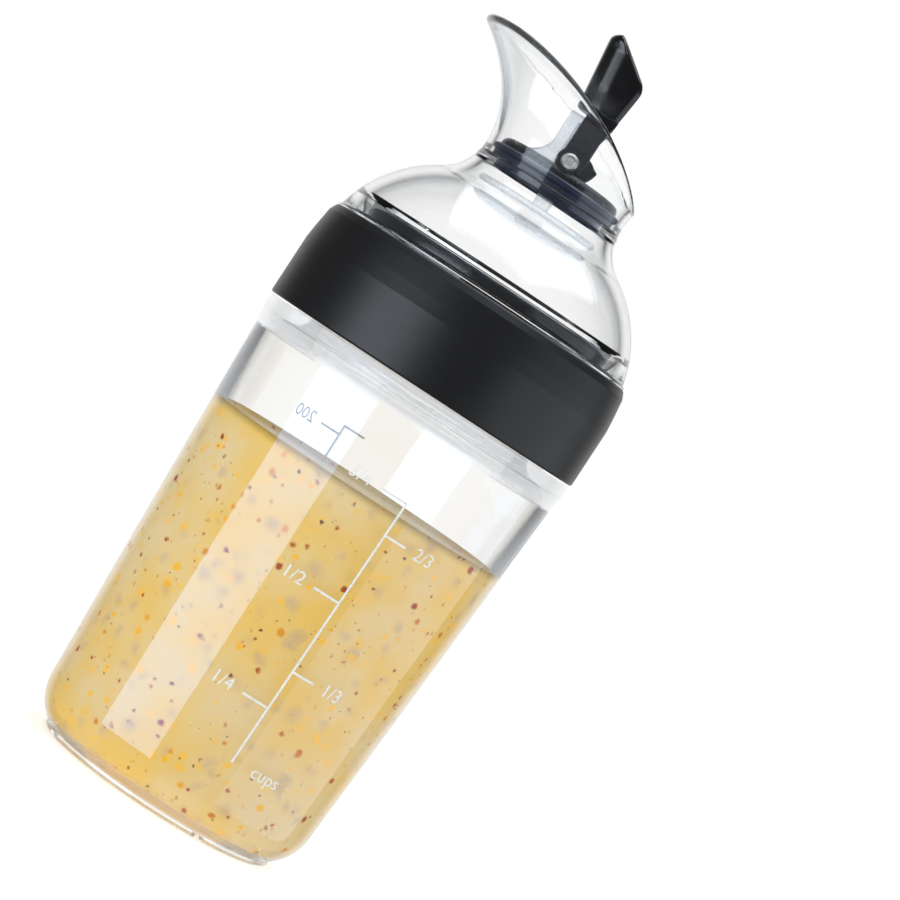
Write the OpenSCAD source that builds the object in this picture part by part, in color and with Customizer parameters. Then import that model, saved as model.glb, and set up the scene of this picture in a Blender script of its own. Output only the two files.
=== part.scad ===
// Salad dressing shaker bottle with a screw lid, a flared pour spout and a
// cam lever that pulls a valve disc shut. Millimetres, +Z up. The origin is the
// centre of the foot. The spout's lip points to -X and the lever folds to +X.

/* [Bottle] */
// Height from the table to the top of the shoulder
body_h = 91.7; // [85:0.1:100]
// Outer radius that the tapered side has at the table
body_r_low = 28.8; // [26:0.1:30]
// Outer radius of the side where the shoulder bead starts
body_r_top = 33.2; // [32:0.1:33.5]
// Wall of the bottle
wall = 2.2; // [1.6:0.1:2.8]
// Thickness of the bottle's floor
floor_t = 2.4; // [1.8:0.1:4]
// Radius of the outer corner between floor and side
corner_r = 10; // [9:0.5:12]
// Height of that corner's centre above the foot ring
corner_rise = 8.1; // [7:0.1:8.6]
// Height of the foot ring
foot_h = 1.1; // [0.8:0.1:2]
// Width of the foot ring's flat
foot_w = 2.2; // [1.5:0.1:4]
// Width of each drain notch in the foot ring
notch_w = 2; // [1:0.1:4]
// Height of the bead round the shoulder
bead_h = 3; // [2:0.1:4]
// How far the bead stands out from the side
bead_out = 0.5; // [0.2:0.1:0.8]

/* [Neck] */
// Width of the shoulder from the side in to the neck
shoulder_w = 6; // [5.6:0.1:6.8]
// Wall of the neck
neck_wall = 2.6; // [2:0.1:2.8]
// Height of the neck above the shoulder
neck_h = 21.9; // [20:0.1:22.4]
// Round where the neck meets the shoulder
neck_fillet = 1.2; // [0.6:0.1:1.6]

/* [Lid and grip band] */
// Gap between the lid and the bottle's shoulder
lid_gap = 0.35; // [0.2:0.05:0.8]
// Room between the neck and the skirt for the thread
thread_room = 2.5; // [2.2:0.1:2.8]
// Wall of the skirt and of the dome
lid_wall = 2.2; // [1.6:0.1:2.6]
// Height of the grip band
band_h = 20.65; // [18:0.05:21]
// Thickness of the grip band
band_t = 2.1; // [1.5:0.1:4]
// Thickness of the grip band at its narrower top edge
band_top_t = 0.8; // [0.7:0.1:1.4]
// Height over which the band draws in to its top edge
band_taper = 8.3; // [4:0.1:10]
// Height of the thin ledge above the band
ledge_h = 0.5; // [0.3:0.1:1]
// How far that ledge stands out from the skirt
ledge_out = 0.4; // [0.2:0.1:0.7]

/* [Dome] */
// Radius of the dome's outer curve
dome_r = 25.6; // [24:0.1:27]
// How far the dome swells out past its foot
dome_swell = 0.6; // [0.3:0.1:1.2]
// Height from the dome's foot to its narrowest point
dome_h = 24.8; // [23:0.1:26]
// Outer radius at the narrowest point
throat_r = 15.4; // [15:0.1:16]

/* [Gasket] */
// Height of the lid's sealing ring
gasket_h = 2.2; // [1.6:0.1:3]
// Width of the sealing ring
gasket_w = 2.5; // [2:0.1:2.6]
// Thickness of the web that presses on the sealing ring
web_t = 1.2; // [0.8:0.1:1.6]
// Length of the plug collar that reaches into the neck
plug_h = 6.5; // [4:0.1:10]
// Wall of the plug collar
plug_wall = 1.3; // [1:0.1:1.8]

/* [Spout] */
// Depth of the spout's joint with the dome below the narrowest point
joint_drop = 3.1; // [2.6:0.1:3.6]
// Wall of the spout
spout_wall = 1.4; // [1.1:0.1:1.6]
// Outer radius that the flare reaches at the lip
lip_r = 29.2; // [27:0.1:31]
// Height from the narrowest point to the top of the flare
flare_h = 20.2; // [18:0.1:23]
// Height of the rim's low back above the narrowest point
back_h = 3.5; // [3:0.1:3.8]
// Thickness of the ledge that carries the valve seal
seat_t = 1.2; // [1:0.1:1.5]
// Width of that ledge
seat_w = 2.1; // [1.6:0.1:2.4]

/* [Valve seal and insert] */
// Thickness of the seal between ledge and insert
seal_t = 3.1; // [2.6:0.1:3.4]
// Thickness of the seal's upper lip, which touches the throat
seal_lip_t = 1.5; // [1:0.1:2]
// How far the seal's collar reaches below the ledge
seal_below = 0.6; // [0.4:0.1:1]
// Wall of the seal's collar
seal_wall = 1.2; // [0.9:0.1:1.5]
// Height of the insert's cap above the seal
cap_h = 1.9; // [1.6:0.1:2.2]
// Gap between the insert's cap and the throat
cap_gap = 1.1; // [0.8:0.1:1.8]
// Wall of the insert's tube inside the seal
tube_wall = 1.1; // [0.9:0.1:1.4]
// Wall of the insert's hub round the stem
hub_wall = 1.4; // [1:0.1:1.8]
// Angle that each of the two pour windows spans
window_span = 44; // [30:1:46]
// Angle from the front to the middle of each window
window_turn = 46; // [42:1:50]

/* [Guide post] */
// Height of the post above the insert's cap
post_h = 11.3; // [11:0.1:11.6]
// Distance from the axis to the post's front
post_front = 4.9; // [4.6:0.1:5.2]
// Skin of the post behind the stem's head
post_skin = 0.4; // [0.3:0.1:0.8]
// How far the foot flares out in front of the post
post_flare = 4.7; // [3:0.1:5]
// Thickness of the post's two walls
post_wall = 0.95; // [0.8:0.05:1.1]
// Thickness of the post's roof above the slot
roof_t = 1.4; // [1:0.1:2]

/* [Stopper] */
// How far the valve disc reaches past the seal's collar
disc_reach = 1.1; // [0.8:0.1:1.6]
// Thickness of the valve disc
disc_t = 1.5; // [1.2:0.1:2.5]
// Radius of the stem
stem_r = 1.75; // [1.5:0.05:1.8]
// Wall of the stem's head round the pin
head_wall = 0.75; // [0.6:0.05:0.9]

/* [Lever and pin] */
// Radius of the steel pin
pin_r = 1.7; // [1.5:0.05:1.9]
// Height of the pin above the top of the insert's cap
pin_rise = 2.1; // [2:0.05:2.2]
// Wall of the round eye at the foot of each cheek
eye_wall = 1; // [0.9:0.05:1.15]
// How much the cam lifts for each radian of fold
cam_rate = 1.9; // [1.6:0.05:2]
// Angle that the lever folds back
fold_angle = 80; // [70:1:84]
// Thickness of each cheek
cheek_t = 2.85; // [2.6:0.05:3.2]
// Share of a cheek's thickness that the cam takes
cam_share = 0.5; // [0.4:0.05:0.6]
// Width of each cheek above its eye
cheek_w = 5.1; // [4.6:0.1:5.4]
// How far each cheek stands behind the pin's axis
cheek_shift = 0.4; // [0:0.1:0.6]
// Gap between the post's top and the fork's crotch
fork_gap = 1.3; // [1:0.1:1.8]
// Height from the pin to the lever's tip
lever_h = 25.4; // [22:0.1:28]
// Half of the thumb piece's width across the fork
thumb_half = 6.9; // [6.6:0.1:8]
// How far the thumb piece's flanks curve in from its outline
flank = 4.6; // [3:0.1:4.8]

/* [Hidden] */
$fn = 96;

seat_gap = 0.1;
run_gap = 0.06;
slide_gap = 0.2;
free_gap = 0.3;
plug_gap = 0.4;
cheek_gap = 0.15;
press_gap = 0.01;
overlap = 0.1;
notch_turn = 26.3;
bead_cove = 2.3;
bulge = 0.8;

side_slope = (body_r_top - body_r_low) / (body_h - bead_h - bead_cove);
side_tilt = atan(side_slope);
neck_r = body_r_top - shoulder_w;
neck_in = neck_r - neck_wall;
neck_top = body_h + neck_h;
lid_z = body_h + lid_gap;
band_top = lid_z + band_h;
dome_z = band_top + ledge_h;
skirt_in = neck_r + thread_room;
skirt_r = skirt_in + lid_wall;
band_r = skirt_r + band_t;
band_top_r = skirt_r + band_top_t;
gasket_z = neck_top + seat_gap;
gasket_top = gasket_z + gasket_h;
web_z = gasket_top + seat_gap;
plug_r = neck_in - plug_gap;
plug_in = plug_r - plug_wall;

dome_offset = skirt_r + dome_swell - dome_r;
foot_angle = acos((dome_r - dome_swell) / dome_r);
dome_cz = dome_z - dome_r * sin(foot_angle);
throat_z = dome_z + dome_h;
throat_rise = throat_z - dome_cz;
throat_reach = throat_r - dome_offset;
waist_r = (throat_reach^2 + throat_rise^2 - dome_r^2) / (2 * (dome_r - throat_reach));
waist_cx = throat_r + waist_r;
blend_angle = atan2(throat_rise, throat_reach + waist_r);
joint_z = throat_z - joint_drop;
joint_angle = asin(joint_drop / waist_r);

throat_in = throat_r - spout_wall;
seat_z = joint_z + seat_t;
seat_in = throat_in - seat_w;
collar_r = seat_in - seat_gap;
collar_in = collar_r - seal_wall;
seal_low = joint_z - seal_below;
cap_z = seat_z + seal_t;
cap_top = cap_z + cap_h;
cap_r = throat_in - cap_gap;
tube_r = collar_in;
tube_in = tube_r - tube_wall;
hub_in = stem_r + slide_gap;
hub_r = hub_in + hub_wall;

pin_z = cap_top + pin_rise;
eye_r = pin_r + eye_wall;
head_half = pin_r + head_wall;
head_room = head_half + slide_gap;
slot_half = stem_r + free_gap;
post_half = slot_half + post_wall;
post_back = head_room + post_skin;
pad_z = pin_z - eye_r - seat_gap;
cheek_in = post_half + cheek_gap;
cheek_out = cheek_in + cheek_t;
cam_out = cheek_in + cheek_t * cam_share;
fork_h = post_h - pin_rise + fork_gap;
disc_r = collar_r + disc_reach;
fold_rad = fold_angle * PI / 180;
lift = cam_rate * fold_rad;
disc_top = seal_low - seat_gap / 2 - lift;
cam_reach = norm([eye_r + lift, cam_rate]);
cheek_back = cheek_shift + cheek_w / 2;
thumb_back = 3.75;
thumb_front = -4.7;
post_top = cap_top + post_h;

function arc(c, r, a0, a1, n = 24) =
    [for (i = [0:n]) let (a = a0 + (a1 - a0) * i / n) [c.x + r * cos(a), c.y + r * sin(a)]];

function bezier(p, t) =
    p[0] * (1 - t)^3 + 3 * p[1] * t * (1 - t)^2 + 3 * p[2] * t^2 * (1 - t) + p[3] * t^3;

function bezier_slope(p, t) =
    3 * (p[1] - p[0]) * (1 - t)^2 + 6 * (p[2] - p[1]) * t * (1 - t) + 3 * (p[3] - p[2]) * t^2;

function offset_curve(p, d, n) =
    [for (i = [0:n]) let (s = bezier_slope(p, i / n)) bezier(p, i / n) + d * [-s.y, s.x] / norm(s)];

function side_r(z) = body_r_low + side_slope * z;

// Corner between floor and side: one centre serves the outer and the inner round
corner_z = foot_h + corner_rise;
corner_x = side_r(corner_z) - corner_r / cos(side_tilt);
foot_r = corner_x + sqrt(corner_r^2 - corner_rise^2);
floor_z = foot_h + floor_t;
inner_corner_r = corner_r - wall;
inner_floor_angle = asin((floor_z - corner_z) / inner_corner_r);
bead_z = body_h - bead_h;
bead_r = body_r_top + bead_out;
bead_round = 0.5;
shoulder_round = 3;
shoulder_under = body_h - wall - 0.4;

module bottle_profile() {
    lip = 0.8;
    inner_side = body_r_top - wall;
    polygon(concat(
        [[0, foot_h], [foot_r - foot_w, foot_h], [foot_r - foot_w, 0.4], [foot_r - foot_w + 0.4, 0]],
        [[foot_r - 0.4, 0], [foot_r, 0.4]],
        arc([corner_x, corner_z], corner_r, -asin(corner_rise / corner_r), -side_tilt, 16),
        [[body_r_top, bead_z - bead_cove]],
        arc([bead_r - bead_round, bead_z + bead_round], bead_round, -60, 0, 6),
        arc([bead_r - bead_round, body_h - bead_round], bead_round, 0, 90, 8),
        arc([neck_r + neck_fillet, body_h + neck_fillet], neck_fillet, 270, 180, 10),
        arc([neck_r - lip, neck_top - lip], lip, 0, 90, 8),
        arc([neck_in + lip, neck_top - lip], lip, 90, 180, 8),
        arc([neck_in + shoulder_round, shoulder_under + shoulder_round], shoulder_round, 180, 270, 12),
        arc([inner_side - shoulder_round, shoulder_under - shoulder_round], shoulder_round, 90, 0, 12),
        arc([corner_x, corner_z], inner_corner_r, -side_tilt, inner_floor_angle, 16),
        [[0, floor_z]]));
}

module bottle() {
    color([0.9, 0.93, 0.95, 0.35])
    difference() {
        rotate_extrude() bottle_profile();
        for (i = [0:3])
            rotate([0, 0, notch_turn - 90 + i * 90])
            translate([foot_r - foot_w - 1, -notch_w / 2, -1])
            cube([foot_w + 2, notch_w, 1 + foot_h * 0.75]);
    }
}

module grip_band() {
    shelf = band_top - band_taper;
    low_round = 0.5;
    top_round = band_top_t * 0.85;
    color([0.09, 0.09, 0.1])
    rotate_extrude()
    polygon(concat(
        [[skirt_r, lid_z], [band_r - low_round, lid_z]],
        arc([band_r - low_round, lid_z + low_round], low_round, 270, 360, 6),
        [[band_r, shelf], [band_r - band_t * 0.14, shelf + band_taper * 0.35]],
        [[band_r - band_t * 0.38, shelf + band_taper * 0.81]],
        arc([band_top_r - top_round, band_top - top_round], top_round, 20, 90, 8),
        [[skirt_r, band_top]]));
}

module lid_profile() {
    ledge_r = skirt_r + ledge_out;
    web_top = web_z + web_t;
    inner_r = dome_r - lid_wall;
    web_top_r = dome_offset + sqrt(inner_r^2 - (web_top - dome_cz)^2);
    web_low_r = dome_offset + sqrt(inner_r^2 - (web_z - dome_cz)^2);
    dome_c = [dome_offset, dome_cz];
    waist_c = [waist_cx, throat_z];
    inner_waist = waist_r + lid_wall;
    inner_joint = asin(joint_drop / inner_waist);
    polygon(concat(
        [[skirt_in, lid_z], [skirt_r, lid_z], [skirt_r, band_top], [ledge_r, band_top]],
        [[ledge_r, dome_z - 0.15], [ledge_r - 0.15, dome_z]],
        arc(dome_c, dome_r, foot_angle, blend_angle, 40),
        arc(waist_c, waist_r, 180 + blend_angle, 180 + joint_angle, 14),
        arc(waist_c, inner_waist, 180 + inner_joint, 180 + blend_angle, 14),
        arc(dome_c, inner_r, blend_angle, asin((web_top - dome_cz) / inner_r), 36),
        [[plug_in, web_top], [plug_in, web_z - plug_h + 0.5], [plug_in + 0.5, web_z - plug_h]],
        [[plug_r - 0.5, web_z - plug_h], [plug_r, web_z - plug_h + 0.8], [plug_r, web_z]],
        [[web_low_r, web_z], [skirt_in, web_z - 2.6]]));
}

module lid_dome() {
    color([0.9, 0.93, 0.95, 0.35])
    rotate_extrude() lid_profile();
}

module lid_gasket() {
    inner = plug_r + free_gap;
    color([0.05, 0.05, 0.06])
    rotate_extrude()
    translate([inner, gasket_z])
    square([gasket_w, gasket_h]);
}

flare = [[throat_r, throat_z], [throat_r, throat_z + flare_h * 0.3],
         [throat_r + (lip_r - throat_r) * 0.24, throat_z + flare_h * 0.67], [lip_r, throat_z + flare_h]];

// The rim seen from the side: high at the lip, low at the back
rim_inset = 0.4;
rim_front = [rim_inset - lip_r, throat_z + flare_h - rim_inset];
rim_back = [throat_r + rim_inset, throat_z + back_h];
rim_curve = [rim_front, rim_front + [14.8, -0.2], rim_back + [-9.8, 9.9], rim_back];

module spout() {
    rings = 24;
    clear = lip_r + throat_r;
    tip_cut = 1.2;
    joint_step = 0.35;
    outer = offset_curve(flare, 0, rings);
    inner = offset_curve(flare, spout_wall, rings);
    rim = offset_curve(rim_curve, 0, 32);
    color([0.9, 0.93, 0.95, 0.35])
    difference() {
        rotate_extrude()
        polygon(concat(
            [[seat_in, joint_z], [throat_r + joint_step, joint_z]],
            [[throat_r + joint_step, joint_z + 1.1], [throat_r + overlap, joint_z + 1.3]],
            outer,
            [for (i = [rings:-1:0]) inner[i]],
            [[throat_in, seat_z], [seat_in, seat_z]]));
        rotate([90, 0, 0])
        linear_extrude(height = 4 * lip_r, center = true)
        polygon(concat(
            [rim_front + [-4 * tip_cut, -tip_cut]],
            rim,
            [rim_back + [back_h, -back_h], rim_back + [clear, 0], rim_back + [clear, clear]],
            [rim_front + [-clear, clear], rim_front + [-clear, -tip_cut]]));
    }
}

module valve_seal() {
    wipe_r = throat_in - seat_gap / 2;
    body_r = throat_in - 0.7;
    lip_z = cap_z - seal_lip_t;
    color([0.05, 0.05, 0.06])
    rotate_extrude()
    polygon([
        [collar_in, seal_low], [collar_r, seal_low], [collar_r, seat_z], [body_r, seat_z],
        [body_r, lip_z - 0.2], [wipe_r, lip_z + 0.3], [wipe_r, cap_z - 0.4],
        [wipe_r - 0.55, cap_z], [collar_in, cap_z]]);
}

module window(side) {
    inner = hub_r + 0.8;
    outer = tube_in - slide_gap;
    rotate([0, 0, 180 + side * window_turn - window_span / 2])
    translate([0, 0, cap_z - 1])
    rotate_extrude(angle = window_span)
    translate([inner, 0])
    square([outer - inner, cap_h + 2]);
}

module insert_profile() {
    round_r = 1.5;
    tube_low = seal_low + 0.5;
    polygon(concat(
        [[hub_in, tube_low], [hub_r, tube_low], [hub_r, cap_z], [tube_in, cap_z], [tube_in, tube_low]],
        [[tube_r, tube_low], [tube_r, cap_z], [cap_r, cap_z]],
        arc([cap_r - round_r, cap_top - round_r], round_r, 0, 90, 10),
        [[hub_in, cap_top]]));
}

module pour_insert() {
    color([0.06, 0.06, 0.07])
    difference() {
        rotate_extrude() insert_profile();
        translate([-head_room, -slot_half, pin_z - head_room])
        cube([2 * head_room, 2 * slot_half, 2 * head_half]);
        for (side = [-1, 1]) {
            window(side);
            cam_pocket(side);
        }
    }
}

// Room in the cap for one cam and for the round eye beside it
module cam_pocket(side) {
    near = post_half - slide_gap;
    far = cam_out + slide_gap;
    back = cam_reach + slide_gap;
    translate([-eye_r - slide_gap, side > 0 ? near : -far, pad_z])
    cube([eye_r + slide_gap + back, far - near, cap_h]);
    translate([0, side * (far + cap_r) / 2, pin_z])
    rotate([90, 0, 0])
    cylinder(r = eye_r + slide_gap, h = cap_r - far, center = true);
}

module guide_post() {
    corner = 1.2;
    foot = [-post_front - post_flare, cap_top];
    tall = post_top - cap_top;
    flare_top = [-post_front, cap_top + tall * 0.4];
    foot_curve = [foot, foot + [post_flare * 0.62, 0.1], flare_top + [0, -tall * 0.17], flare_top];
    color([0.8, 0.84, 0.88, 0.7])
    difference() {
        rotate([90, 0, 0])
        linear_extrude(height = 2 * post_half, center = true)
        polygon(concat(
            [[post_back, cap_top]],
            arc([post_back - corner, post_top - corner], corner, 0, 90, 8),
            arc([-post_front + corner * 0.4, post_top - corner * 0.4], corner * 0.4, 90, 180, 6),
            [for (i = [12:-1:0]) bezier(foot_curve, i / 12)]));
        translate([-head_room, -slot_half, cap_top - roof_t])
        cube([2 * head_room, 2 * slot_half, post_h]);
        pin_slot();
    }
}

// Upright slot in both walls of the post for the pin's travel, open at the foot
module pin_slot() {
    half = pin_r + slide_gap;
    top = pin_z + lift + slide_gap;
    translate([0, 0, top])
    rotate([90, 0, 0])
    cylinder(r = half, h = 4 * post_half, center = true);
    translate([-half, -2 * post_half, cap_top - roof_t])
    cube([2 * half, 4 * post_half, top - cap_top + roof_t]);
}

module stopper() {
    head_y = slot_half - slide_gap;
    rim = 0.4;
    color([0.8, 0.84, 0.88, 0.7])
    difference() {
        union() {
            rotate_extrude()
            polygon(concat(
                [[0, disc_top - disc_t - bulge]],
                [for (i = [1:8]) let (s = i / 8) [(disc_r - rim) * s, disc_top - disc_t - bulge * (1 - s^2)]],
                [[disc_r, disc_top - disc_t + rim], [disc_r, disc_top - rim], [disc_r - rim, disc_top]],
                [[0, disc_top]]));
            translate([0, 0, disc_top - overlap])
            cylinder(r = stem_r, h = pin_z - disc_top);
            translate([0, 0, pin_z])
            rotate([90, 0, 0])
            cylinder(r = head_half, h = 2 * head_y, center = true);
        }
        translate([0, 0, pin_z])
        rotate([90, 0, 0])
        cylinder(r = pin_r + run_gap, h = 4 * post_half, center = true);
    }
}

// The cam's outline has a distance from the pin that grows evenly with the angle,
// so the pin rises by cam_rate for each radian while the lever folds back
function cam_point(a) =
    let (reach = eye_r + cam_rate * a * PI / 180)
    [reach * sin(a) + cam_rate * cos(a), -reach * cos(a) + cam_rate * sin(a)];

module cheek_outline() {
    circle(r = eye_r);
    translate([cheek_shift - cheek_w / 2, 0])
    square([cheek_w, fork_h + flank]);
    polygon([
        [cheek_back, fork_h * 0.6], [thumb_back, fork_h - 0.7], [thumb_back + 0.1, fork_h + 2],
        [cheek_back - 1, fork_h + 2]]);
}

module cam_outline() {
    polygon(concat(
        [[0, 0], [0, -eye_r]],
        [for (i = [0:20]) cam_point(i * fold_angle / 20)],
        [[cheek_back, eye_r]]));
}

module cheek(side) {
    translate([0, side * (cheek_in + cheek_out) / 2, pin_z])
    rotate([90, 0, 0])
    linear_extrude(height = cheek_t, center = true)
    cheek_outline();
    translate([0, side * (cheek_in + cam_out) / 2, pin_z])
    rotate([90, 0, 0])
    linear_extrude(height = cam_out - cheek_in, center = true)
    cam_outline();
}

// The thumb piece seen from the side: a slanted blade with a rounded tip
module thumb_outline() {
    tip_round = 1.6;
    slope_round = 3.1;
    low_round = 0.7;
    hull() {
        translate([-4.75, lever_h - tip_round]) circle(r = tip_round, $fn = 32);
        translate([1.3, lever_h - 8]) circle(r = slope_round, $fn = 48);
        translate([thumb_front + low_round, fork_h + low_round]) circle(r = low_round, $fn = 24);
        translate([thumb_back - low_round, fork_h + low_round]) circle(r = low_round, $fn = 24);
    }
}

// Its section across is an oval: layers of the outline that draw in towards the flanks
module thumb_piece() {
    skin = 0.02;
    hull()
    for (turn = [-75:15:75])
        translate([0, thumb_half * sin(turn), pin_z])
        rotate([90, 0, 0])
        linear_extrude(height = skin, center = true)
        offset(delta = flank * (cos(turn) - 1))
        thumb_outline();
}

module lever() {
    color([0.05, 0.05, 0.06])
    difference() {
        union() {
            thumb_piece();
            cheek(-1);
            cheek(1);
        }
        translate([0, 0, pin_z])
        rotate([90, 0, 0])
        cylinder(r = pin_r + press_gap, h = 4 * cheek_out, center = true);
    }
}

// A turned pin with chamfered ends and a flat-bottomed centre mark in each
module pivot_pin() {
    half = cheek_out + 0.3;
    chamfer = 0.3;
    mark_r = 1.15;
    mark_depth = 0.3;
    mark_draft = 0.2;
    face = [[0, half - mark_depth], [mark_r - mark_draft, half - mark_depth], [mark_r, half],
            [pin_r - chamfer, half], [pin_r, half - chamfer]];
    color([0.75, 0.74, 0.72])
    translate([0, 0, pin_z])
    rotate([90, 0, 0])
    rotate_extrude()
    polygon(concat(face, [for (i = [len(face) - 1:-1:0]) [face[i].x, -face[i].y]]));
}

bottle();
grip_band();
lid_dome();
lid_gasket();
spout();
valve_seal();
pour_insert();
guide_post();
stopper();
lever();
pivot_pin();
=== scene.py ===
import math
import bmesh
import bpy
from mathutils import Matrix, Vector


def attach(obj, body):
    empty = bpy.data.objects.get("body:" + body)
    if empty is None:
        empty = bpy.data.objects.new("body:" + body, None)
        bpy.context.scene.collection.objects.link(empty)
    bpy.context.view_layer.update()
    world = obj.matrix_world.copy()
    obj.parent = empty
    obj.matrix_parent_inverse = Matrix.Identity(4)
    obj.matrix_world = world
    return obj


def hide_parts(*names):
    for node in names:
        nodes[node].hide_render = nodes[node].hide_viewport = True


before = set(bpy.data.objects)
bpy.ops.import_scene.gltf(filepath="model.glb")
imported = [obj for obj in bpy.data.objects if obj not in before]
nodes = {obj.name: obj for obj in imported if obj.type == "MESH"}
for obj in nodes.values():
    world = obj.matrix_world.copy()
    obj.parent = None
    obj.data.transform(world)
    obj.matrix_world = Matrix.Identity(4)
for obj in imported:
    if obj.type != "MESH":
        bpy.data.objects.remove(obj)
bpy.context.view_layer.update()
MM = 0.001

# Bottle
# One clear injection-moulded vessel with a tapered side, a foot ring and a wide
# neck. It is polished plastic 2.2 mm thick, so its walls bend what is behind them.


class Wire:
    """An output socket of a shader node. Arithmetic on it adds Math nodes, and node() adds any other node."""

    def __init__(self, tree, socket=None):
        self.tree = tree
        self.socket = socket

    def node(self, kind, settings=None, inputs=None, output=0):
        """Adds a node: its settings first, then the values or wires of its sockets."""
        made = self.tree.nodes.new("ShaderNode" + kind)
        for name, value in (settings or {}).items():
            if name == "stops":
                ramp = made.color_ramp
                for _ in range(len(value) - 2):
                    ramp.elements.new(0.5)
                for element, (place, colour) in zip(ramp.elements, value):
                    element.position = place
                    element.color = (*colour, 1)
            else:
                setattr(made, name, value)
        for name, value in (inputs or {}).items():
            if isinstance(value, Wire):
                self.tree.links.new(value.socket, made.inputs[name])
            else:
                made.inputs[name].default_value = value
        return Wire(self.tree, made.outputs[output] if made.outputs else None)

    def maths(self, operation, *terms):
        return self.node("Math", {"operation": operation}, dict(enumerate(terms)))

    def __add__(self, other):
        return self.maths("ADD", self, other)

    def __sub__(self, other):
        return self.maths("SUBTRACT", self, other)

    def __rsub__(self, other):
        return self.maths("SUBTRACT", other, self)

    def __mul__(self, other):
        return self.maths("MULTIPLY", self, other)

    def __truediv__(self, other):
        return self.maths("DIVIDE", self, other)

    def __pow__(self, other):
        return self.maths("POWER", self, other)

    def __gt__(self, other):
        return self.maths("GREATER_THAN", self, other)

    __radd__ = __add__
    __rmul__ = __mul__

    def step(self, low, high):
        """0 at low and 1 at high, with a smooth rise between."""
        inputs = {"Value": self, "From Min": low, "From Max": high}
        return self.node("MapRange", {"interpolation_type": "SMOOTHSTEP"}, inputs)

    def mix(self, a, b):
        """Colour a where this wire is 0 and colour b where it is 1."""
        colours = [c if isinstance(c, Wire) else (*c, 1) for c in (a, b)]
        return self.node("Mix", {"data_type": "RGBA"}, {0: self, 6: colours[0], 7: colours[1]}, 2)

    def shift(self, other, share):
        """This vector moved by a share of another one."""
        moved = self.node("VectorMath", {"operation": "SCALE"}, {0: other, "Scale": share})
        return self.node("VectorMath", {"operation": "ADD"}, {0: self, 1: moved})

    def noise(self, size, detail=2.0):
        """Noise with features about size wide, around this place."""
        return self.node("TexNoise", {}, {"Vector": self, "Scale": 1 / size, "Detail": detail})

    def bump(self, height, strength=0.5):
        inputs = {"Height": self, "Distance": height, "Strength": strength}
        return self.node("Bump", {}, inputs)


def new_material(name):
    """A material without nodes, and the wire that its first nodes are added from."""
    made = bpy.data.materials.new(name)
    made.use_nodes = True
    made.node_tree.nodes.clear()
    return made, Wire(made.node_tree)


def close(wire, sockets):
    """Ends a material in one Principled shader."""
    shader = wire.node("BsdfPrincipled", {}, sockets)
    wire.node("OutputMaterial", {}, {"Surface": shader})


def dress(node, material):
    """Gives a carried-over solid its finish."""
    slots = nodes[node].material_slots
    for slot in slots:
        slot.material = material


PLASTIC_IOR = 1.53


def clear_plastic(name, clear, edge, roughness, sheen, direct=0.0, foot=0.0, shoulder=1.0):
    """Polished clear plastic. Its colour carries painted shade: it turns greyer where its faces turn away from
    the eye, standing in for the dark lines that the walls' bends show. Lamps shine straight through it. A share
    of what is behind it shows without a bend, more of it in the foot and most of it above the shoulder."""
    made, start = new_material(name)
    mirrored = start.node("Fresnel", {}, {"IOR": PLASTIC_IOR})
    place = start.node("TexCoord", output="Object")
    flow = place.noise(14 * MM, 1.0)
    sockets = {
        # Painted shade: the Fresnel mask turns the colour towards the grey edge colour at grazing angles.
        "Base Color": mirrored.step(0.06, 0.9).mix(clear, edge),
        "Roughness": flow.step(0.3, 0.8) * roughness,
        "IOR": PLASTIC_IOR,
        "Transmission Weight": 1.0,
        "Specular Tint": (*sheen, 1),
    }
    glass = start.node("BsdfPrincipled", {}, sockets)
    through = start.node("BsdfTransparent", {}, {"Color": (0.975, 0.98, 0.985, 1)})
    lamp_ray = start.node("LightPath", output="Is Shadow Ray")
    soft_ray = start.node("LightPath", output="Is Diffuse Ray")
    height = place.node("SeparateXYZ", {}, {0: place}, "Z")
    straight = direct + height.step(shoulder - 0.6 * MM, shoulder) * (0.8 - direct)
    straight = straight + height.step(foot + 1.5 * MM, foot - 1.5 * MM) * (0.2 - direct)
    lit = start.maths("MAXIMUM", start.maths("MAXIMUM", lamp_ray, soft_ray), straight)
    surface = start.node("MixShader", {}, {0: lit, 1: glass, 2: through})
    start.node("OutputMaterial", {}, {"Surface": surface})
    return made


BODY_CLEAR = (0.995, 1.0, 1.0)
# The body's edge colour is painted shade, shown where its faces turn away from the eye.
BODY_EDGE_SHADE = (0.55, 0.59, 0.62)
BODY_SHEEN = (0.55, 0.88, 1.45)
FOOT, SHOULDER = 5.0 * MM, 86.0 * MM
body_plastic = clear_plastic(
    "clear_body_plastic", BODY_CLEAR, BODY_EDGE_SHADE, 0.02, BODY_SHEEN, 0, FOOT, SHOULDER
)
dress("bottle", body_plastic)


def new_mesh(name, points, faces, smooth=True):
    """A mesh object from points in metres."""
    mesh = bpy.data.meshes.new(name)
    mesh.from_pydata(points, [], faces)
    mesh.validate()
    for face in mesh.polygons:
        face.use_smooth = smooth
    made = bpy.data.objects.new(name, mesh)
    bpy.context.scene.collection.objects.link(made)
    return made


def around(radius, angle, height):
    """A point at a radius and a height, with the angle counted from the front towards the right."""
    return Vector((radius * math.sin(angle), -radius * math.cos(angle), height))


# Neck thread
# A two-start thread moulded on the outside of the neck. Each start is one ridge
# with sloping flanks that fades out at both ends.

LEAD = 8.0 * MM
STARTS = 2
NECK_R = 27.2 * MM
THREAD_LOW = 97.4 * MM
THREAD_TURN = 0.8
THREAD_HALF = 0.85 * MM
THREAD_CREST = 0.4 * MM


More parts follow.
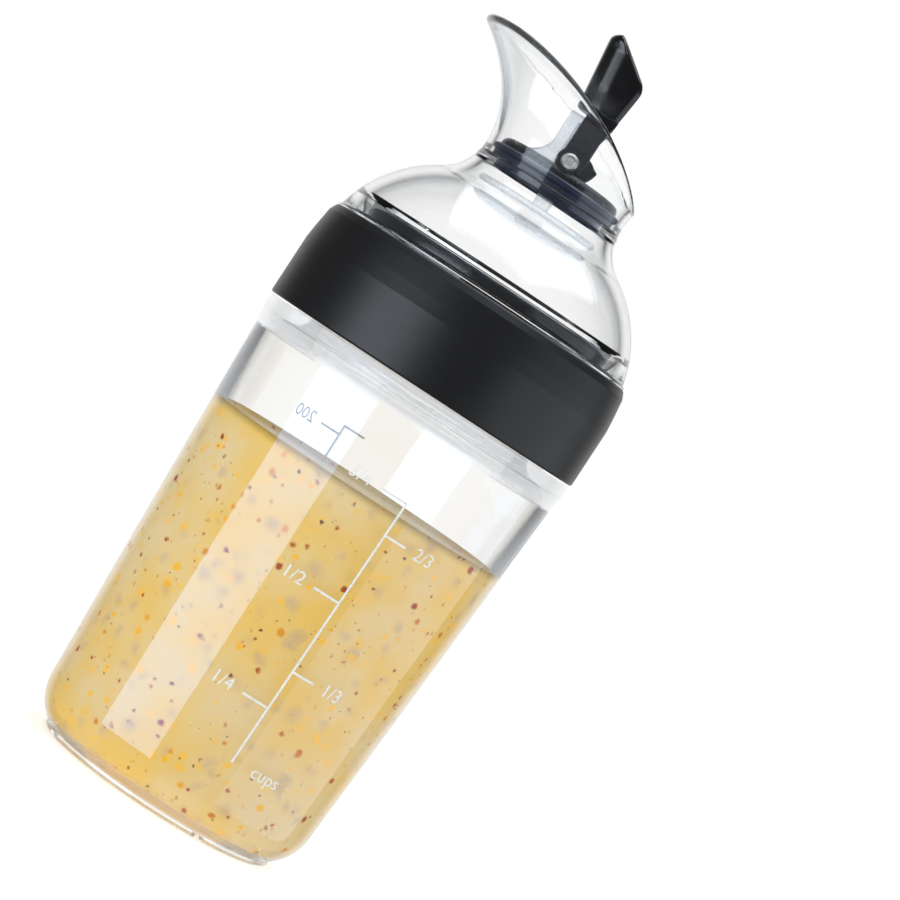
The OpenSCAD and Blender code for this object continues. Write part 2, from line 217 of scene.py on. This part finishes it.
def thread(name, root, crest, low, turn, material, body):
    """One ridge for each start, as a closed strip along a helix. The crest may lie inside or outside the root."""
    steps = 96
    points, faces = [], []
    for start in range(STARTS):
        first = len(points)
        for i in range(steps + 1):
            share = i / steps
            fade = min(1, 9 * share, 9 * (1 - share)) ** 0.6
            angle = 2 * math.pi * (turn * share + start / STARTS)
            middle = low + LEAD * turn * share
            tip = root + (crest - root) * max(fade, 0.03)
            buried = root + (root - crest) * 0.12
            points.append(around(buried, angle, middle - THREAD_HALF))
            points.append(around(tip, angle, middle - THREAD_CREST))
            points.append(around(tip, angle, middle + THREAD_CREST))
            points.append(around(buried, angle, middle + THREAD_HALF))
        for i in range(steps):
            a = first + 4 * i
            for k in range(4):
                faces.append((a + k, a + (k + 1) % 4, a + 4 + (k + 1) % 4, a + 4 + k))
        last = first + 4 * steps
        faces.append((first + 3, first + 2, first + 1, first))
        faces.append((last, last + 1, last + 2, last + 3))
    made = new_mesh(name, points, faces)
    tidy_normals(made)
    made.modifiers.new("round", "BEVEL").width = 0.25 * MM
    made.modifiers["round"].segments = 3
    made.data.materials.append(material)
    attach(made, body)
    return made


def tidy_normals(piece):
    """Turns every face outwards."""
    shape = bmesh.new()
    shape.from_mesh(piece.data)
    bmesh.ops.recalc_face_normals(shape, faces=shape.faces)
    shape.to_mesh(piece.data)
    shape.free()


thread(
    "neck_thread", NECK_R, 28.6 * MM, THREAD_LOW, THREAD_TURN, body_plastic, "container"
)

# Dressing
# The contents: an oil and mustard dressing with seeds and spice. It wets the wall,
# so it has no gap to the plastic, and its rim climbs the wall a little.

LEVEL = 69.5 * MM
CONTACT = 0.04 * MM
CLIMB = 0.9 * MM
CLIMB_REACH = 2.2 * MM


def inner_radius(height):
    """Radius of the bottle's bore at a height."""
    hit, place, _, _ = nodes["bottle"].ray_cast((0, 0, height), (1, 0, 0))
    return place.x if hit else 0


def lathe(name, profile, sides=128):
    """A turned form from (radius, height) points, closed on the axis where a radius is 0."""
    points, faces, rings = [], [], []
    for radius, height in profile:
        if radius < 1e-7:
            rings.append([len(points)])
            points.append((0, 0, height))
        else:
            rings.append(list(range(len(points), len(points) + sides)))
            points += [around(radius, 2 * math.pi * i / sides, height) for i in range(sides)]
    for low, high in zip(rings, rings[1:]):
        for i in range(sides):
            j = (i + 1) % sides
            if len(low) == 1 and len(high) > 1:
                faces.append((low[0], high[j], high[i]))
            elif len(high) == 1 and len(low) > 1:
                faces.append((low[i], low[j], high[0]))
            elif len(low) > 1:
                faces.append((low[i], low[j], high[j], high[i]))
    return new_mesh(name, points, faces)


floor_hit = nodes["bottle"].ray_cast((0.001, 0.001, LEVEL), (0, 0, -1))
floor_top = floor_hit[1].z
profile = [(0, floor_top - CONTACT)]
WALL_RINGS = 60
for i in range(WALL_RINGS + 1):
    share = i / WALL_RINGS
    height = floor_top + 0.05 * MM + (LEVEL + CLIMB - floor_top) * share**1.6
    profile.append((inner_radius(height) + CONTACT, height))
rim_r = profile[-1][0]
for i in range(1, 13):
    reach = CLIMB_REACH * (i / 12)
    profile.append((rim_r - reach, LEVEL + CLIMB * (1 - i / 12) ** 3))
profile.append((0, LEVEL))
dressing = lathe("dressing", profile)

CREAM = (0.76, 0.58, 0.29)
GOLD = (0.80, 0.51, 0.10)
YELLOW = (0.95, 0.50, 0.01)
ORANGE = (0.62, 0.20, 0.01)
RUST = (0.38, 0.055, 0.006)
DARK = (0.05, 0.025, 0.015)
MAUVE = (0.42, 0.28, 0.25)


def specks(place, size, reach, share, soft):
    """Scattered blots in a share of cells of this size. Returns their mask and a random value for each blot."""
    inputs = {"Vector": place, "Scale": 1 / size}
    distance = place.node("TexVoronoi", {}, inputs)
    random = place.node("TexVoronoi", {}, inputs, "Color")
    pick = random.node("SeparateColor", {}, {0: random})
    other = random.node("SeparateColor", {}, {0: random}, 1)
    edge = (0.3 + 0.7 * other * other) * (reach / size)
    inside = (distance - edge).step(soft * reach / size, -soft * reach / size)
    return inside * (pick > 1 - share), pick.step(1 - share, 1)


def dressing_material():
    made, start = new_material("mustard_dressing")
    place = start.node("TexCoord", output="Object")
    wobble = place.node("TexNoise", {}, {"Vector": place, "Scale": 1 / (0.8 * MM), "Detail": 3.0}, "Color")
    drift = place.node("TexNoise", {}, {"Vector": place, "Scale": 1 / (3.5 * MM), "Detail": 2.0}, "Color")
    ragged = place.shift(wobble, 0.9 * MM)
    soft = place.shift(drift, 2.5 * MM)
    cloud = place.noise(16 * MM, 3.0)
    grain = place.noise(1.1 * MM, 3.0)
    colour = cloud.step(0.3, 0.7).mix(GOLD, CREAM)
    colour = (grain.step(0.45, 0.8) * 0.2).mix(colour, CREAM)
    layers = [
        (soft, 3.8 * MM, 1.5 * MM, 0.5, 0.8, [(0, MAUVE), (1, MAUVE)], 0.45),
        (soft, 2.5 * MM, 0.95 * MM, 0.45, 0.5, [(0, YELLOW), (1, YELLOW)], 0.75),
        (ragged, 2.4 * MM, 0.85 * MM, 0.4, 0.3, [(0, YELLOW), (0.45, ORANGE), (1, RUST)], 1.0),
        (ragged, 1.6 * MM, 0.42 * MM, 0.24, 0.35, [(0, RUST), (0.5, DARK), (1, ORANGE)], 0.9),
        (ragged, 1.3 * MM, 0.22 * MM, 0.26, 0.4, [(0, DARK), (1, RUST)], 0.8),
    ]
    for i, (where, size, reach, share, edge, stops, strength) in enumerate(layers):
        moved = where.node("VectorMath", {"operation": "ADD"}, {0: where, 1: (0.37 * i, 0.11 * i, 0)})
        mask, random = specks(moved, size, reach, share, edge)
        blot = random.node("ValToRGB", {"stops": stops}, {0: random})
        colour = (mask * strength).mix(colour, blot)
    close(start, {"Base Color": colour, "Roughness": 0.32, "Specular IOR Level": 0.4})
    return made


dressing.data.materials.append(dressing_material())
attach(dressing, "container")

# Printed scale
# Cup marks screen-printed in white ink on the outside of the wall, with figures
# beside them, and a second scale in millilitres on the far side.

SCALE_AZIMUTH = math.radians(16.5)
LINE = 0.42 * MM
INK = 0.03 * MM
FIGURE = 3.6 * MM
outer_low = 28.8 * MM
outer_rise = 0.0509


def on_wall(azimuth, across, height, lift):
    """A point on the outside of the bottle, at a distance across from a line up the wall."""
    radius = outer_low + outer_rise * height
    return around(radius + lift, azimuth + across / radius, height)


def ink_bar(shape, azimuth, left, right, low, high):
    """One printed bar as a thin closed plate that follows the wall."""
    steps = max(2, round((right - left) / (0.8 * MM)))
    rows = max(2, round((high - low) / (2 * MM)))
    grids = []
    for lift in (-INK, INK):
        grid = []
        for i in range(steps + 1):
            across = left + (right - left) * i / steps
            column = [low + (high - low) * j / rows for j in range(rows + 1)]
            grid.append([shape.verts.new(on_wall(azimuth, across, z, lift)) for z in column])
        grids.append(grid)
    under, over = grids
    for i in range(steps):
        for j in range(rows):
            shape.faces.new((over[i][j], over[i + 1][j], over[i + 1][j + 1], over[i][j + 1]))
            shape.faces.new((under[i][j], under[i][j + 1], under[i + 1][j + 1], under[i + 1][j]))
    for i in range(steps):
        for j in (0, rows):
            shape.faces.new((under[i][j], under[i + 1][j], over[i + 1][j], over[i][j]))
    for j in range(rows):
        for i in (0, steps):
            shape.faces.new((under[i][j], over[i][j], over[i][j + 1], under[i][j + 1]))


def ink_text(shape, words, azimuth, across, height, size):
    """Printed words whose middle is at this place."""
    curve = bpy.data.curves.new("words", "FONT")
    curve.body = words
    curve.size = size
    curve.extrude = INK
    curve.align_x = "CENTER"
    curve.align_y = "CENTER"
    curve.resolution_u = 4
    holder = bpy.data.objects.new("words", curve)
    bpy.context.scene.collection.objects.link(holder)
    bpy.context.view_layer.update()
    flat = bpy.data.meshes.new_from_object(holder.evaluated_get(bpy.context.evaluated_depsgraph_get()))
    for vertex in flat.vertices:
        x, y, z = vertex.co
        vertex.co = on_wall(azimuth, across + x, height + y, z)
    shape.from_mesh(flat)
    bpy.data.objects.remove(holder)
    bpy.data.curves.remove(curve)
    bpy.data.meshes.remove(flat)


def printed_scale(name, azimuth, low, high, marks, words, top_bar):
    """A line up the wall with ticks and figures, as one printed piece."""
    shape = bmesh.new()
    ink_bar(shape, azimuth, -LINE / 2, LINE / 2, low, high)
    for text, height, side, length in marks:
        near, far = sorted((side * LINE / 2, side * length))
        ink_bar(shape, azimuth, near, far, height - LINE / 2, height + LINE / 2)
        if text:
            ink_text(shape, text, azimuth, side * (length + 4.4 * MM), height, FIGURE)
    if top_bar:
        ink_bar(shape, azimuth, LINE / 2, top_bar, high - LINE, high)
    text, across, height, size = words
    ink_text(shape, text, azimuth, across, height, size)
    mesh = bpy.data.meshes.new(name)
    shape.to_mesh(mesh)
    shape.free()
    made = bpy.data.objects.new(name, mesh)
    bpy.context.scene.collection.objects.link(made)
    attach(made, "container")
    return made


def ink_material():
    made, start = new_material("white_ink")
    place = start.node("TexCoord", output="Object")
    worn = place.noise(0.5 * MM, 3.0).step(0.25, 0.6)
    close(start, {"Base Color": worn.mix((0.66, 0.67, 0.63), (0.80, 0.81, 0.77)), "Roughness": 0.45})
    return made


LEFT, RIGHT = -1, 1
LONG, SHORT = 5.5 * MM, 4.8 * MM
cup_marks = [
    ("1/4", 28.1 * MM, LEFT, LONG),
    ("1/3", 36.2 * MM, RIGHT, SHORT),
    ("1/2", 51.3 * MM, LEFT, LONG),
    ("2/3", 66.3 * MM, RIGHT, SHORT),
    ("3/4", 73.2 * MM, LEFT, LONG),
]
ml_marks = [(str(ml), z * MM, RIGHT, SHORT) for ml, z in ((50, 18.7), (100, 38.9), (150, 57.7), (200, 75.4))]
white_ink = ink_material()
cups = printed_scale(
    "cup_scale", SCALE_AZIMUTH, 16.2 * MM, 73.4 * MM, cup_marks, ("cups", 7.6 * MM, 16.6 * MM, 3.6 * MM), 0
)
cups.data.materials.append(white_ink)
millilitres = printed_scale(
    "ml_scale", math.radians(196), 12 * MM, 77.6 * MM, ml_marks, ("ml", 7.6 * MM, 11.5 * MM, 3.6 * MM), -5 * MM
)
millilitres.data.materials.append(white_ink)

# Lid gasket
# A plain black silicone ring under the lid's web. It shows as a dark ring
# through the dome, just above the grip band.


def rubber(name, colour, roughness):
    """Moulded silicone: even and dark, with a smooth skin."""
    made, start = new_material(name)
    place = start.node("TexCoord", output="Object")
    patch = place.noise(9 * MM, 2.0)
    paler = tuple(c * 1.5 for c in colour)
    sockets = {
        "Base Color": patch.step(0.3, 0.7).mix(colour, paler),
        "Roughness": roughness + 0.08 * patch,
    }
    close(start, sockets)
    return made


GASKET_INNER, GASKET_OUTER = 24.5 * MM, 27.0 * MM
GASKET_LOW, GASKET_HIGH = 113.7 * MM, 115.9 * MM
GASKET_FREE = 0.12 * MM
GASKET_ROUND = 0.35 * MM


def ring_profile(inner, outer, low, high, rounding):
    """The closed section of a ring with rounded edges, as (radius, height) points."""
    middles = (
        (outer - rounding, low + rounding, -90),
        (outer - rounding, high - rounding, 0),
        (inner + rounding, high - rounding, 90),
        (inner + rounding, low + rounding, 180),
    )
    section = []
    for radius, height, first in middles:
        for i in range(7):
            turn = math.radians(first + 15 * i)
            section.append((radius + rounding * math.cos(turn), height + rounding * math.sin(turn)))
    return section + section[:1]


gasket = lathe(
    "sealing_ring",
    ring_profile(
        GASKET_INNER + GASKET_FREE,
        GASKET_OUTER - GASKET_FREE,
        GASKET_LOW + GASKET_FREE / 2,
        GASKET_HIGH - GASKET_FREE / 2,
        GASKET_ROUND,
    ),
)
tidy_normals(gasket)
gasket.data.materials.append(rubber("gasket_silicone", (0.006, 0.007, 0.011), 0.16))
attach(gasket, "gasket")
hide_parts("lid_gasket")

# Lid dome
# The clear lid, moulded as one shell: a skirt with the mating thread inside, a web
# and plug collar that close the neck, and the dome up to the spout.

LID_CLEAR = (0.995, 1.0, 1.0)
# The lid's edge colour is painted shade, shown where its faces turn away from the eye.
LID_EDGE_SHADE = (0.62, 0.66, 0.70)
LID_SHEEN = (0.55, 0.58, 0.62)
lid_plastic = clear_plastic("clear_lid_plastic", LID_CLEAR, LID_EDGE_SHADE, 0.015, LID_SHEEN)
dress("lid_dome", lid_plastic)

SKIRT_R = 29.7 * MM
thread(
    "lid_thread", SKIRT_R, 27.9 * MM, THREAD_LOW + LEAD / STARTS / 2, 0.7, lid_plastic, "lid"
)

# Grip band
# A soft black sleeve moulded over the skirt. Its surface is a fine matt grain
# that catches light only softly, and it carries no mark.


def grip_material():
    made, start = new_material("soft_grip_black")
    place = start.node("TexCoord", output="Object")
    grain = place.noise(0.22 * MM, 4.0)
    patch = place.noise(11 * MM, 2.0)
    rubbed = (grain.step(0.4, 0.75) * 0.6 + patch.step(0.4, 0.7) * 0.4)
    sockets = {
        "Base Color": rubbed.mix((0.0045, 0.0045, 0.0055), (0.0085, 0.0085, 0.010)),
        "Roughness": 0.34 + 0.12 * grain,
        "Normal": grain.bump(0.05 * MM, 0.35),
        "Specular IOR Level": 0.62,
    }
    close(start, sockets)
    return made


dress("grip_band", grip_material())

# Spout
# A clear flared pour spout welded to the top of the dome, cut off obliquely so
# that the rim runs from a high lip down to a low back. The rim is melted round.

SPOUT_SIDES = 160
SPOUT_RINGS = 44
RIM_STEPS = 8
solid = nodes["spout"]
corners = [Vector(corner) for corner in solid.bound_box]
spout_low = min(corner.z for corner in corners)
spout_high = max(corner.z for corner in corners)


def spout_outside(azimuth, height):
    """Radius of the spout's outside at this azimuth and height, or 0 where it has none."""
    far = around(60 * MM, azimuth, height)
    inwards = -around(1, azimuth, 0)
    hit, place, _, _ = solid.ray_cast(far, inwards, distance=60 * MM)
    return math.hypot(place.x, place.y) if hit else 0


def spout_bore(height):
    """Inner radius at a height, on the lip's side."""
    hit, place, _, _ = solid.ray_cast((0, 0, height), (-1, 0, 0))
    return abs(place.x) if hit else 0


LIP_SIDE = math.radians(-90)
flare_heights = [spout_low + (spout_high - spout_low) * i / 160 for i in range(160)]
flare_radii = [spout_outside(LIP_SIDE, height) for height in flare_heights]


def flare_radius(height):
    """Outer radius on the lip's side, which is the radius all round below the rim."""
    share = (height - spout_low) / (spout_high - spout_low) * 160
    i = min(max(int(share), 1), len(flare_radii) - 2)
    return flare_radii[i] + (flare_radii[i + 1] - flare_radii[i]) * (share - i)


def rim_height(azimuth):
    """Height at which the oblique cut ends the wall at this azimuth."""
    low, high = spout_low + 5 * MM, spout_high
    for _ in range(24):
        middle = (low + high) / 2
        found = spout_outside(azimuth, middle)
        if found and abs(found - flare_radius(middle)) < 0.4 * MM:
            low = middle
        else:
            high = middle
    return low


def spout_column(azimuth, wall, straight):
    """The wall's section at one azimuth: up the outside, round the rim and down the bore."""
    top = rim_height(azimuth) - 0.35 * wall
    lows = [spout_low + (straight - spout_low) * i / 16 for i in range(16)]
    heights = lows + [straight + (top - straight) * i / SPOUT_RINGS for i in range(SPOUT_RINGS + 1)]
    column, inner = [], []
    for height in heights:
        radius = flare_radius(height)
        ahead = flare_radius(height + 0.2 * MM) - flare_radius(height - 0.2 * MM)
        along = Vector((ahead, 0.4 * MM)).normalized() if height >= straight else Vector((0, 1))
        side = Vector((-along.y, along.x))
        column.append((radius, height))
        if height >= straight:
            inner.append((radius + wall * side.x, height + wall * side.y))
        else:
            inner.append((spout_bore(height + 0.01 * MM), height))
    middle = Vector(column[-1]) + side * wall / 2
    for i in range(1, RIM_STEPS):
        turn = math.pi * i / RIM_STEPS
        point = middle - side * math.cos(turn) * wall / 2 + along * math.sin(turn) * wall / 2
        column.append(tuple(point))
    return column + inner[::-1]


def smooth_spout():
    straight = spout_low + 4.6 * MM
    wall = spout_outside(LIP_SIDE, straight) - spout_bore(straight)
    points, faces = [], []
    for i in range(SPOUT_SIDES):
        azimuth = 2 * math.pi * i / SPOUT_SIDES
        column = spout_column(azimuth, wall, straight)
        points += [around(radius, azimuth, height) for radius, height in column]
    count = len(column)
    for i in range(SPOUT_SIDES):
        for k in range(count):
            a, b = i * count, (i + 1) % SPOUT_SIDES * count
            faces.append((a + k, b + k, b + (k + 1) % count, a + (k + 1) % count))
    made = new_mesh("pour_spout", points, faces)
    for face in made.data.polygons:
        if abs(face.index % count - count // 2) < RIM_STEPS:
            face.material_index = 1
    return made


spout = smooth_spout()
tidy_normals(spout)
spout.data.materials.append(lid_plastic)
rim_plastic = clear_plastic("clear_rim_plastic", LID_CLEAR, LID_EDGE_SHADE, 0.03, LID_SHEEN, 0.07)
spout.data.materials.append(rim_plastic)
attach(spout, "lid")
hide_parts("spout")

# Valve seal
# A dark silicone ring pressed over the insert's tube. It sits on the spout's
# ledge and wipes the throat with a thin lip.

dress("valve_seal", rubber("seal_silicone", (0.003, 0.008, 0.028), 0.34))

# Pour insert
# The glossy black cap in the throat, with two windows for the dressing and
# pockets for the lever's cams. It snaps into the seal.


def glossy_black(name, roughness, shine):
    """Black plastic from a polished mould."""
    made, start = new_material(name)
    place = start.node("TexCoord", output="Object")
    haze = place.noise(2.5 * MM, 4.0)
    fine = place.noise(0.4 * MM, 2.0)
    sockets = {
        "Base Color": haze.step(0.35, 0.7).mix((0.003, 0.003, 0.004), (0.006, 0.006, 0.008)),
        "Roughness": roughness + 0.07 * haze,
        "Normal": fine.bump(0.02 * MM, 0.08),
        "Specular IOR Level": shine,
    }
    close(start, sockets)
    return made


dress("pour_insert", glossy_black("insert_black", 0.24, 0.35))

# Guide post
# A natural, slightly cloudy post that stands on the cap. Its slots keep the pin
# and the stem upright while they travel.


def natural_plastic(name, colour, shade, direct):
    """Unpigmented plastic: light passes, but blurred. A share of it passes straight. Its colour has random
    cloudiness and painted shade, turning blue-grey where its faces turn away.
    """
    made, start = new_material(name)
    place = start.node("TexCoord", output="Object")
    cloud = place.noise(3 * MM, 2.0)
    mirrored = start.node("Fresnel", {}, {"IOR": 1.5})
    # Painted shade: the colour goes blue-grey towards the edges where the faces turn away from the eye.
    cloud_and_painted_edge_shade = mirrored.step(0.05, 0.7).mix(cloud.step(0.3, 0.7).mix(colour, shade), (0.45, 0.5, 0.56))
    glass = start.node(
        "BsdfPrincipled",
        {},
        {"Base Color": cloud_and_painted_edge_shade, "Roughness": 0.22 + 0.1 * cloud, "IOR": 1.5, "Transmission Weight": 0.85},
    )
    through = start.node("BsdfTransparent", {}, {"Color": (0.9, 0.92, 0.94, 1)})
    lamp_ray = start.node("LightPath", output="Is Shadow Ray")
    lit = start.maths("MAXIMUM", lamp_ray, direct)
    surface = start.node("MixShader", {}, {0: lit, 1: glass, 2: through})
    start.node("OutputMaterial", {}, {"Surface": surface})
    return made


dress("guide_post", natural_plastic("natural_plastic_cloudy", (0.86, 0.89, 0.92), (0.80, 0.83, 0.87), 0.1))

# Stopper
# The valve disc with its stem. It hangs below the seal while the lever stands up
# and closes against the seal from below when the lever is folded.

dress("stopper", natural_plastic("natural_plastic_thin", (0.93, 0.95, 0.97), (0.88, 0.90, 0.93), 0.7))

# Lever
# A glossy black fork with a thumb piece, moulded with soft edges. Its cheeks
# straddle the post, and the cams inside them bear on the cap.

LEVER_VOXEL = 0.16 * MM
FORK_TOP = 153.75 * MM
THUMB_HALF = 6.66 * MM
FRONT_ROUND = 4.5 * MM
BACK_ROUND = 1.4 * MM
TIP_ROUND = 1.6 * MM
THUMB_RINGS = 70
CORNER_STEPS = 14


def softened_fork():
    """The fork's two cheeks with their edges rounded a little, up to the thumb piece."""
    fork = bpy.data.objects.new("thumb_lever", nodes["lever"].data.copy())
    bpy.context.scene.collection.objects.link(fork)
    fork.data.materials.clear()
    mesher = fork.modifiers.new("mesh", "REMESH")
    mesher.mode = "VOXEL"
    mesher.voxel_size = LEVER_VOXEL
    mesher.use_smooth_shade = True
    smoother = fork.modifiers.new("round", "SMOOTH")
    smoother.factor = 0.6
    smoother.iterations = 5
    evaluated = fork.evaluated_get(bpy.context.evaluated_depsgraph_get())
    fork.data = bpy.data.meshes.new_from_object(evaluated)
    fork.modifiers.clear()
    shape = bmesh.new()
    shape.from_mesh(fork.data)
    geometry = shape.verts[:] + shape.edges[:] + shape.faces[:]
    cut = bmesh.ops.bisect_plane(
        shape, geom=geometry, plane_co=(0, 0, FORK_TOP + 0.4 * MM), plane_no=(0, 0, 1), clear_outer=True
    )
    rim = [element for element in cut["geom_cut"] if isinstance(element, bmesh.types.BMEdge)]
    bmesh.ops.holes_fill(shape, edges=rim)
    shape.to_mesh(fork.data)
    shape.free()
    return fork


def thumb_side(height, way):
    """Where the lever's outline lies at a height, on one side of its middle plane."""
    hit, place, _, _ = nodes["lever"].ray_cast((way * 20 * MM, 0, height), (-way, 0, 0))
    return place.x if hit else None


def thumb_ring(front, back, half):
    """A level section of the thumb piece: widely rounded towards the spout, less at the back."""
    scale = min(1, (back - front) / (FRONT_ROUND + BACK_ROUND))
    corners = []
    for x, way, radius in ((front, 1, FRONT_ROUND), (back, -1, BACK_ROUND)):
        wide, deep = scale * radius, min(radius, half)
        for i in range(CORNER_STEPS + 1):
            turn = math.pi / 2 * i / CORNER_STEPS
            corners.append((x + way * wide * (1 - math.sin(turn)), half - deep * (1 - math.cos(turn))))
    near = corners[CORNER_STEPS::-1] + corners[CORNER_STEPS + 1 :]
    return [(x, -y) for x, y in near] + [(x, y) for x, y in reversed(near)]


def thumb_piece(shape):
    """Adds the thumb piece to a mesh: level sections of the lever's outline, closed below and at the tip."""
    top = max(corner[2] for corner in nodes["lever"].bound_box) - 0.02 * MM
    fork = [vertex.co for vertex in shape.verts if vertex.co.z < FORK_TOP - 2 * MM]
    fork_half = max(abs(place.y) for place in fork)
    rings = []
    for i in range(THUMB_RINGS + 1):
        height = FORK_TOP + (top - FORK_TOP) * math.sin(math.pi / 2 * i / THUMB_RINGS)
        sides = thumb_side(height, -1), thumb_side(height, 1)
        if None in sides:
            continue
        near_tip = min(top - height, TIP_ROUND)
        flare = min((height - FORK_TOP) / (5 * MM), 1)
        half = fork_half + (THUMB_HALF - fork_half) * flare * flare * (3 - 2 * flare)
        half += math.sqrt(TIP_ROUND**2 - (TIP_ROUND - near_tip) ** 2) - TIP_ROUND
        ring = thumb_ring(*sides, half)
        rings.append([shape.verts.new((x, y, height)) for x, y in ring])
    for low, high in zip(rings, rings[1:]):
        for k in range(len(low)):
            shape.faces.new((low[k - 1], low[k], high[k], high[k - 1]))
    shape.faces.new(rings[0])
    shape.faces.new(rings[-1])


lever = softened_fork()
shape = bmesh.new()
shape.from_mesh(lever.data)
thumb_piece(shape)
bmesh.ops.recalc_face_normals(shape, faces=shape.faces)
for face in shape.faces:
    face.smooth = True
shape.to_mesh(lever.data)
shape.free()
lever.data.materials.append(glossy_black("lever_black", 0.19, 0.65))
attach(lever, "lever")
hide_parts("lever")

# Pivot pin
# A turned stainless pin pressed through both cheeks, with a small centre mark
# left in each end.


def steel_material():
    made, start = new_material("turned_steel")
    place = start.node("TexCoord", output="Object")
    rings = place.noise(0.35 * MM, 4.0)
    sockets = {
        "Base Color": rings.step(0.3, 0.7).mix((0.72, 0.70, 0.67), (0.92, 0.90, 0.87)),
        "Metallic": 1.0,
        "Roughness": 0.3 + 0.2 * rings,
        "Normal": rings.bump(0.02 * MM, 0.2),
    }
    close(start, sockets)
    return made


dress("pivot_pin", steel_material())

# Studio
# A pale floor with the object's shadow, a plain bright room, two upright soft
# boxes in front and the camera at the photograph's angle and tilt.


def mirrored_rays(start):
    """1 for what is seen in a mirror, also where clear plastic lies before it."""
    return start.node("LightPath", output="Glossy Depth") > 0.5


def wall_rays(start):
    """1 for what is mirrored inside the near wall of a clear piece."""
    bends = start.node("LightPath", output="Transmission Depth")
    return mirrored_rays(start) * start.maths("COMPARE", bends, 2, 0.5)


def seen_rays(start):
    """1 for what the camera sees, by itself or through clear plastic."""
    direct = start.node("LightPath", output="Is Camera Ray")
    through = start.node("LightPath", output="Is Transmission Ray")
    return start.maths("MAXIMUM", direct, through) * (1 - mirrored_rays(start))


FLOOR_GLOW = 0.42
FLOOR_LIGHT = 0.62
NEAR_FLOOR, FAR_FLOOR = 0.09, 0.3


def studio_floor():
    side = 4.0
    corners = [(-side, -side, 0), (side, -side, 0), (side, side, 0), (-side, side, 0)]
    made = new_mesh("floor", corners, [(0, 1, 2, 3)])
    floor_material, start = new_material("pale_floor")
    place = start.node("TexCoord", output="Object")
    away = place.node("VectorMath", {"operation": "LENGTH"}, {0: place}, "Value")
    direct = start.node("LightPath", output="Is Camera Ray")
    through = seen_rays(start) - direct
    matt = start.node("BsdfDiffuse", {}, {"Color": (0.85, 0.85, 0.85, 1)})
    soft = start.node("LightPath", output="Is Diffuse Ray")
    glow = start.node("Emission", {}, {"Strength": direct * FLOOR_GLOW + soft * FLOOR_LIGHT})
    near = start.node("AddShader", {}, {0: matt, 1: glow})
    white = start.node("Emission", {}, {"Strength": 1.0})
    plain = start.maths("MAXIMUM", through, direct * away.step(NEAR_FLOOR, FAR_FLOOR))
    surface = start.node("MixShader", {}, {0: plain, 1: near, 2: white})
    start.node("OutputMaterial", {}, {"Surface": surface})
    made.data.materials.append(floor_material)
    made.visible_glossy = False


ROOM_LIGHT = 0.34
ROOM_MIRRORED = 0.12
ROOM_IN_WALL = 0.2
ROOM_STEEP = 0.18


def room():
    """The world: white to the eye and through clear plastic. In mirrors it is white behind the
    object, pale above and below, and dim at the height of the object."""
    world = bpy.data.worlds.new("room")
    bpy.context.scene.world = world
    world.use_nodes = True
    world.node_tree.nodes.clear()
    start = Wire(world.node_tree)
    way = start.node("TexCoord", output="Generated")
    behind = way.node("SeparateXYZ", {}, {0: way}, "Y").step(0.7, 0.92)
    upright = way.node("SeparateXYZ", {}, {0: way}, "Z")
    steep = upright.maths("ABSOLUTE", upright).step(0.4, 0.85) * (ROOM_STEEP - ROOM_MIRRORED)
    level = ROOM_MIRRORED + start.maths("MAXIMUM", behind * (1 - ROOM_MIRRORED), steep)
    level = start.maths("MAXIMUM", level, wall_rays(start) * ROOM_IN_WALL)
    strength = ROOM_LIGHT + mirrored_rays(start) * (level - ROOM_LIGHT)
    strength = strength + seen_rays(start) * (1 - ROOM_LIGHT)
    sky = start.node("Background", {}, {"Color": (1, 1, 1, 1), "Strength": strength})
    start.node("OutputWorld", {}, {"Surface": sky})


COOL = (0.87, 0.95, 1.04)


def soft_box(name, azimuth, distance, middle, width, height, brightness):
    """An upright rectangle of cool light that faces the bottle. Brightness 1 is white."""
    lamp = bpy.data.lights.new(name, "AREA")
    lamp.color = COOL
    lamp.shape = "RECTANGLE"
    lamp.size = width
    lamp.size_y = height
    lamp.energy = brightness * math.pi * width * height
    holder = bpy.data.objects.new(name, lamp)
    holder.location = around(distance, math.radians(azimuth), middle)
    aim = Vector((0, 0, 0.09)) - holder.location
    holder.rotation_euler = aim.to_track_quat("-Z", "Y").to_euler()
    holder.visible_camera = False
    bpy.context.scene.collection.objects.link(holder)


studio_floor()
room()
soft_box("left_box", -41, 0.8, -0.01, 0.68, 0.38, 4.0)
soft_box("right_box", 80, 0.9, 0.0, 1.46, 0.7, 0.95)
soft_box("top_box", 160, 0.1, 1.2, 1.4, 1.4, 2.2)

EYE = Vector((-0.3, -689.0, 95.5)) * MM
AIM = Vector((11.0, 0.0, 85.3)) * MM
LEAN = math.radians(33.25)
LENS = 145.0

camera = bpy.data.cameras.new("camera")
camera.lens = LENS
camera.sensor_width = 36
holder = bpy.data.objects.new("camera", camera)
bpy.context.scene.collection.objects.link(holder)
holder.location = EYE
sight = (AIM - EYE).normalized()
level_right = sight.cross(Vector((0, 0, 1))).normalized()
level_up = level_right.cross(sight)
up = level_up * math.cos(LEAN) - level_right * math.sin(LEAN)
right = sight.cross(up)
holder.rotation_euler = Matrix((right, up, -sight)).transposed().to_euler()
bpy.context.scene.camera = holder
bpy.context.scene.view_settings.view_transform = "Standard"
